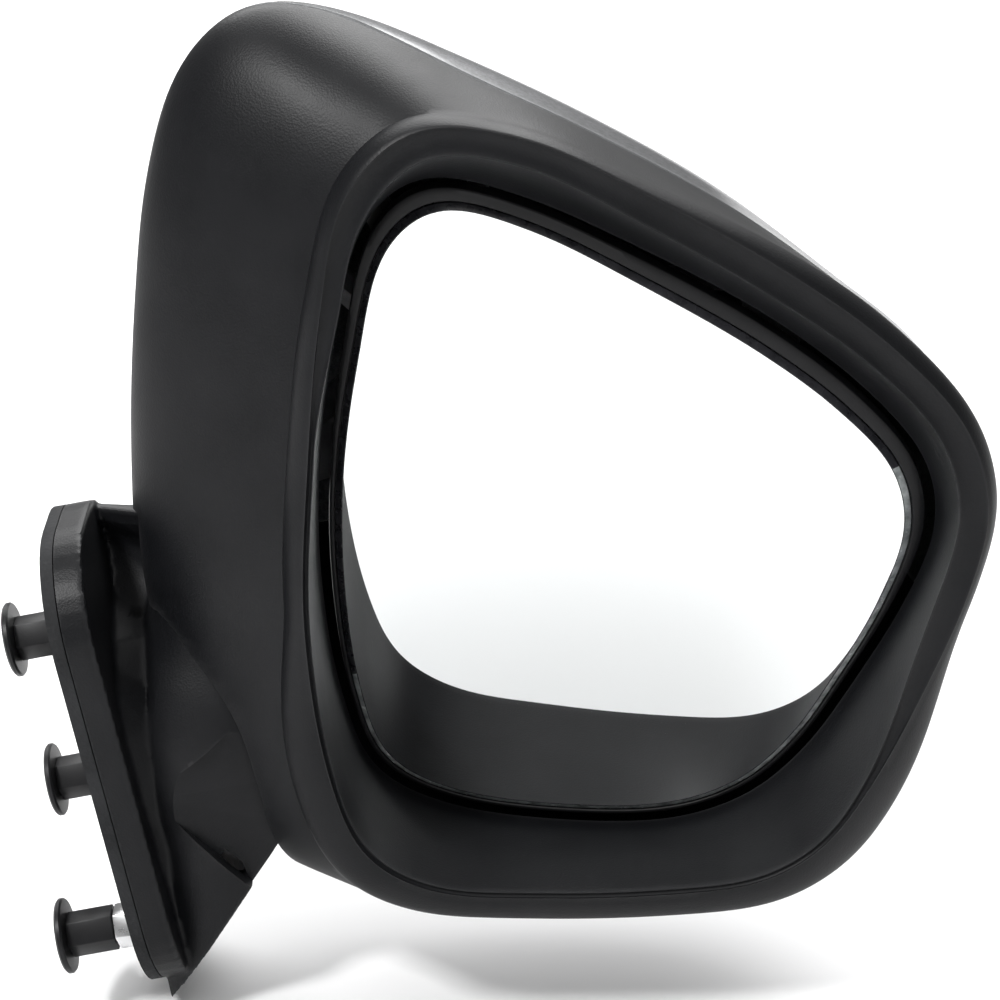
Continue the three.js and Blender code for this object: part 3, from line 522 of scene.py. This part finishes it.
TO_X = Matrix.Rotation(math.radians(90), 4, "Y")
fixings = []
for index, (y, z) in enumerate(STUDS):
    thread = [(STUD_R - 0.7, -STUD_REACH), (STUD_R - 0.1, -STUD_REACH + 0.6)]
    for turn in range(THREAD_TURNS):
        height = -STUD_REACH + 1 + turn * THREAD_PITCH
        thread += [(STUD_R - THREAD_DEPTH, height), (STUD_R, height + THREAD_PITCH / 2)]
    thread += [(STUD_R, -6), (STUD_R, GASKET_THICK + 4)]
    stud = place(lathe(f"stud_bolt_{index + 1}", thread, 32), TO_X)
    collar = soften(slab("collar", hexagon(COLLAR_FLATS), -COLLAR_LENGTH, GASKET_THICK, 0), 0.35, 2)
    combine(stud, [collar], "UNION")
    nut_body = slab(f"nut_body_{index + 1}", hexagon(NUT_FLATS), -NUT_FACE, -COLLAR_LENGTH - GAP, 0)
    nut = soften(nut_body, 0.3, 2)
    outer_face = -NUT_FACE - NUT_FLANGE_THICK
    rim = [(NUT_FLANGE_R - 0.5, outer_face), (NUT_FLANGE_R, outer_face + 0.5),
           (NUT_FLANGE_R, -NUT_FACE - 0.7), (NUT_FLANGE_R - 0.4, -NUT_FACE - 0.25), (6, -NUT_FACE)]
    combine(nut, [place(lathe("flange", rim, 72), TO_X)], "UNION")
    combine(nut, [bar("way", STUD_R + GAP, -30, 10, "x", (0, 0, 0), 32)])
    for part in (stud, nut):
        place(part, LEAN @ Matrix.Translation((0, y, z)))
    fixings.append((stud, nut))

# ------------------------------------------------------------------- materials


class Look:
    """Node tree of one procedural material."""

    def __init__(self, name, **sockets):
        self.material = bpy.data.materials.new(name)
        self.material.use_nodes = True
        self.tree = self.material.node_tree
        self.shader = self.tree.nodes["Principled BSDF"]
        for socket, value in sockets.items():
            self.shader.inputs[socket.replace("_", " ")].default_value = value
        self.place = self.node("ShaderNodeTexCoord").outputs["Object"]

    def node(self, kind, **values):
        made = self.tree.nodes.new(kind)
        for key, value in values.items():
            setattr(made, key, value)
        return made

    def link(self, source, target):
        self.tree.links.new(source, target)

    def noise(self, scale, detail=4, stretch=None):
        texture = self.node("ShaderNodeTexNoise")
        texture.inputs["Scale"].default_value = scale
        texture.inputs["Detail"].default_value = detail
        source = self.place
        if stretch:
            mapping = self.node("ShaderNodeMapping")
            mapping.inputs["Scale"].default_value = stretch
            self.link(self.place, mapping.inputs["Vector"])
            source = mapping.outputs["Vector"]
        self.link(source, texture.inputs["Vector"])
        return texture.outputs["Fac"]

    def cells(self, scale, output="Distance"):
        texture = self.node("ShaderNodeTexVoronoi")
        texture.inputs["Scale"].default_value = scale
        self.link(self.place, texture.inputs["Vector"])
        return texture.outputs[output]

    def ramp(self, source, stops):
        ramp = self.node("ShaderNodeValToRGB")
        elements = ramp.color_ramp.elements
        while len(elements) < len(stops):
            elements.new(0.5)
        for element, (position, value) in zip(elements, stops):
            element.position = position
            element.color = (*value, 1) if isinstance(value, tuple) else (value, value, value, 1)
        self.link(source, ramp.inputs["Fac"])
        return ramp.outputs["Color"]

    def mix(self, factor, low, high, blend="MIX"):
        mix = self.node("ShaderNodeMix", data_type="RGBA", blend_type=blend)
        for value, key in ((factor, 0), (low, 6), (high, 7)):
            if hasattr(value, "links"):
                self.link(value, mix.inputs[key])
            else:
                mix.inputs[key].default_value = value
        return mix.outputs[2]

    def colour(self, source):
        self.link(source, self.shader.inputs["Base Color"])
        return self

    def rough(self, source, low, high):
        self.link(self.ramp(source, [(0.3, low), (0.7, high)]), self.shader.inputs["Roughness"])
        return self

    def bump(self, *layers):
        """layers: (height, depth in mm, strength)."""
        normal = None
        for height, depth, strength in layers:
            bump = self.node("ShaderNodeBump")
            bump.inputs["Distance"].default_value = depth * MM
            bump.inputs["Strength"].default_value = strength
            self.link(height, bump.inputs["Height"])
            if normal:
                self.link(normal, bump.inputs["Normal"])
            normal = bump.outputs["Normal"]
        self.link(normal, self.shader.inputs["Normal"])
        return self

    def edges(self):
        """Painted highlight: lighter where an edge stands out."""
        pointiness = self.node("ShaderNodeNewGeometry").outputs["Pointiness"]
        return self.ramp(pointiness, [(0.51, 0.0), (0.58, 1.0)])


def plastic(name, dark, light, rough, grain, depth, edge, highlight_share=0.35):
    look = Look(name, IOR=1.5, Specular_IOR_Level=0.24)
    tone = look.ramp(look.noise(60, 5), [(0.35, dark), (0.7, light)])
    speck = look.ramp(look.noise(grain * 0.8, 2), [(0.5, 0.0), (0.75, 0.5)])
    tone = look.mix(speck, tone, (*light, 1))
    # Painted highlight: the edge colour is mixed in where an edge stands out.
    edge_highlight = look.mix(look.edges(), tone, (*edge, 1))
    look.colour(look.mix(highlight_share, tone, edge_highlight))
    look.rough(look.noise(25, 4), *rough)
    look.bump((look.cells(grain), depth, 0.6), (look.noise(grain * 2.3, 3), depth * 0.5, 0.5),
              (look.noise(18, 2), 0.15, 0.08))
    return look.material


def metal(name, dark, light, rough, stretch, bump):
    look = Look(name, Metallic=1.0)
    tone = look.ramp(look.noise(90, 6, stretch), [(0.3, dark), (0.7, light)])
    # Painted highlight: edges lighter than the rest of the metal.
    look.colour(look.mix(look.edges(), tone, (*[min(1, 1.3 * v) for v in light], 1)))
    look.rough(look.noise(140, 5, stretch), *rough)
    look.bump((look.noise(700, 4, stretch), bump, 0.4))
    return look.material


# The last colour given to each plastic is its painted edge highlight.
GRAINED = plastic("grained_black", (0.0035, 0.0038, 0.0048), (0.007, 0.0073, 0.0085), (0.42, 0.55), 1900,
                  0.05, (0.05, 0.05, 0.052))
SATIN = plastic("satin_black", (0.003, 0.003, 0.0035), (0.006, 0.006, 0.007), (0.35, 0.48), 2600, 0.02,
                (0.04, 0.04, 0.042))
RUBBER = plastic("gasket_foam", (0.012, 0.0125, 0.0135), (0.03, 0.031, 0.033), (0.75, 0.92), 1100, 0.12,
                 (0.05, 0.05, 0.05), 0.2)
GREY_NYLON = plastic("grey_nylon", (0.08, 0.083, 0.088), (0.11, 0.114, 0.12), (0.5, 0.62), 1500, 0.03,
                     (0.18, 0.18, 0.18))
WHITE_NYLON = plastic("white_nylon", (0.6, 0.59, 0.53), (0.72, 0.7, 0.64), (0.45, 0.6), 1500, 0.03,
                      (0.8, 0.79, 0.75))
ZINC = metal("bright_zinc", (0.55, 0.56, 0.58), (0.78, 0.79, 0.8), (0.22, 0.36), (1, 1, 1), 0.02)
STEEL = metal("machined_steel", (0.32, 0.33, 0.35), (0.5, 0.51, 0.53), (0.28, 0.45), (1, 1, 12), 0.02)
CAST = metal("cast_alloy", (0.36, 0.36, 0.37), (0.52, 0.52, 0.53), (0.5, 0.68), (1, 1, 1), 0.08)


def flake_paint():
    look = Look("flake_paint", Metallic=0.55, Coat_Weight=0.45, Coat_Roughness=0.12)
    flakes = look.ramp(look.cells(2600, "Color"),
                       [(0.2, (0.055, 0.057, 0.06)), (0.85, (0.17, 0.173, 0.18))])
    cloud = look.ramp(look.noise(650, 5), [(0.35, (0.06, 0.062, 0.065)), (0.7, (0.12, 0.123, 0.128))])
    tone = look.mix(0.5, cloud, flakes)
    # Painted highlight: edges of the paint lighter than the rest.
    look.colour(look.mix(look.edges(), tone, (0.26, 0.265, 0.27, 1)))
    look.rough(look.noise(900, 3), 0.34, 0.5)
    look.bump((look.cells(3000), 0.02, 0.5), (look.noise(500, 3), 0.04, 0.25))
    return look.material


def mirror_face():
    look = Look("mirror_face", Metallic=1.0)
    look.colour(look.ramp(look.noise(9, 2), [(0.3, (0.93, 0.95, 0.955)), (0.7, (0.95, 0.965, 0.965))]))
    look.rough(look.noise(30, 5), 0.006, 0.02)
    return look.material


def ground_edge():
    look = Look("ground_edge", IOR=1.5, Metallic=0.35)
    look.colour(look.ramp(look.noise(320, 4), [(0.35, (0.35, 0.38, 0.38)), (0.62, (0.85, 0.9, 0.9))]))
    look.rough(look.noise(500, 3), 0.06, 0.3)
    look.bump((look.cells(420), 0.15, 0.7))
    return look.material


# Thin dark line at the glass's face edge and the dark back; also the painted shade on the ground bevel.
def dark_line_and_bevel_shade():
    look = Look("dark_line_and_bevel_shade", IOR=1.45)
    look.colour(look.ramp(look.noise(200, 3), [(0.3, (0.01, 0.01, 0.012)), (0.7, (0.03, 0.03, 0.034))]))
    look.rough(look.noise(300, 2), 0.2, 0.35)
    return look.material


FLAKE = flake_paint()
MIRROR, GROUND, LINE_AND_SHADE = mirror_face(), ground_edge(), dark_line_and_bevel_shade()


def paint(piece, *materials):
    piece.data.materials.clear()
    for material in materials:
        piece.data.materials.append(material)


# The glass: reflecting face, thin dark line, ground bevel, dark back; the bevel is painted lit on one side
# and painted shade on the rest.
paint(plate, MIRROR, LINE_AND_SHADE, GROUND)
inverse = GLASS_FRAME.inverted()
inner_limit = GRIND + 0.3
# Painted shade: between these angles the bevel gets the dark material instead of the pale ground edge.
SHADED_BEVEL_FROM, SHADED_BEVEL_TO = math.radians(15), math.radians(215)  # the bevel lies in the rim's shade
for polygon in plate.data.polygons:
    point = inverse @ (polygon.center / MM)
    angle = math.atan2(point.z, point.x) % (2 * math.pi)
    edge = np.interp(angle, TURN, GLASS, period=2 * math.pi) - math.hypot(point.x, point.z)
    if point.y > 0.05:
        # Painted lit bevel: the pale ground edge only where the bevel faces the light, painted shade
        # elsewhere.
        lit_bevel = point.y < 1.8 and not SHADED_BEVEL_FROM < angle < SHADED_BEVEL_TO
        polygon.material_index = 2 if lit_bevel else 1
    else:
        polygon.material_index = 1 if edge < inner_limit else 0

NEW_PIECES = [
    (foot_shell, "foot", "foot_cover", "black_plastic", GRAINED),
    (gasket, "foot", "door_gasket", "rubber", RUBBER),
    (housing_shell, "head", "head_housing", "black_plastic", GRAINED),
    (cap_shell, "head", "cap_cover", "grey_paint", FLAKE),
    (lower_shell, "head", "lower_cover", "black_plastic", GRAINED),
    (plate, "glass", "mirror_glass", "mirror", None),
    (tray, "glass", "glass_holder", "satin_black", SATIN),
]
for index, (stud, nut) in enumerate(fixings):
    NEW_PIECES += [(stud, "foot", f"stud_{index + 1}", "zinc_steel", ZINC),
                   (nut, "foot", f"flange_nut_{index + 1}", "satin_black", SATIN)]
for piece, body, node, slot, material in NEW_PIECES:
    if material:
        paint(piece, material)
    shade(piece, 28)
    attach(piece, body)
    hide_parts(node)

KEPT = {
    RUBBER: ["harness_grommet"],
    CAST: ["foot_frame", "head_frame"],
    STEEL: ["pivot_post", "detent_ring", "fold_spring", "spring_cap", "tilt_motor", "pan_motor"],
    ZINC: ["shell_screw_1", "shell_screw_2", "shell_screw_3"],
    GREY_NYLON: ["actuator_base", "actuator_cover"],
    WHITE_NYLON: ["tilt_ring", "tilt_rod", "pan_rod", "tilt_gear", "pan_gear"],
}
for material, nodes in KEPT.items():
    for node in nodes:
        for material_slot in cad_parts[node].material_slots:
            material_slot.material = material

# ----------------------------------------------------------------- the studio

FLOOR_HALF, FLOOR_DROP = 4, 0.004  # metres, like everything in this section
WORLD_STRENGTH = 0.16
MIRROR_MIDDLE = Vector((0.1, -0.01, 0.07))
BACKDROP = Vector((0.1, 1.6, -0.06))  # the floor behind, which the glass reflects
LIGHTS = (  # name, place, aim, size, power
    ("front", (0.15, -1.0, 1.3), MIRROR_MIDDLE, 1.2, 7),
    ("top", (0.3, 0.45, 1.0), MIRROR_MIDDLE, 0.5, 6),
    ("side", (-0.45, -0.5, 0.85), MIRROR_MIDDLE, 0.16, 9),
    ("far", (0.1, 1.9, 1.5), BACKDROP, 2.2, 75),
)
CAMERA_AZIMUTH, CAMERA_ELEVATION, CAMERA_DISTANCE = math.radians(-3), math.radians(22), 0.55
CAMERA_TARGET = Vector((0.0985, -0.02, 0.0728))
CAMERA_LENS, CAMERA_SENSOR = 84.26, 36


def floor_and_light():
    low = CAD_BOX[0][2]
    bm = bmesh.new()
    bmesh.ops.create_grid(bm, x_segments=24, y_segments=24, size=FLOOR_HALF)
    mesh = bpy.data.meshes.new("floor")
    bm.to_mesh(mesh)
    bm.free()
    floor = bpy.data.objects.new("floor", mesh)
    floor.location = (MIRROR_MIDDLE.x, 0, low - FLOOR_DROP)
    bpy.context.collection.objects.link(floor)
    look = Look("pale_floor")
    look.colour(look.ramp(look.noise(3, 3), [(0.3, (0.88, 0.88, 0.885)), (0.7, (0.92, 0.92, 0.92))]))
    look.rough(look.noise(5, 2), 0.7, 0.8)
    paint(floor, look.material)

    world = bpy.data.worlds.new("studio")
    world.use_nodes = True
    world.node_tree.nodes["Background"].inputs["Color"].default_value = (1, 1, 1, 1)
    world.node_tree.nodes["Background"].inputs["Strength"].default_value = WORLD_STRENGTH
    bpy.context.scene.world = world

    for name, place_at, aim, size, power in LIGHTS:
        lamp = bpy.data.lights.new(name, "AREA")
        lamp.size, lamp.energy = size, power
        light = bpy.data.objects.new(name, lamp)
        light.location = place_at
        light.rotation_euler = (aim - Vector(place_at)).to_track_quat("-Z", "Y").to_euler()
        bpy.context.collection.objects.link(light)


def camera():
    level = math.cos(CAMERA_ELEVATION)
    way = Vector((math.sin(CAMERA_AZIMUTH) * level, -math.cos(CAMERA_AZIMUTH) * level,
                  math.sin(CAMERA_ELEVATION)))
    lens = bpy.data.cameras.new("camera")
    lens.lens, lens.sensor_width = CAMERA_LENS, CAMERA_SENSOR
    view = bpy.data.objects.new("camera", lens)
    view.location = CAMERA_TARGET + way * CAMERA_DISTANCE
    view.rotation_euler = (-way).to_track_quat("-Z", "Y").to_euler()
    bpy.context.collection.objects.link(view)
    bpy.context.scene.camera = view


floor_and_light()
camera()
bpy.context.scene.view_settings.view_transform = "Standard"
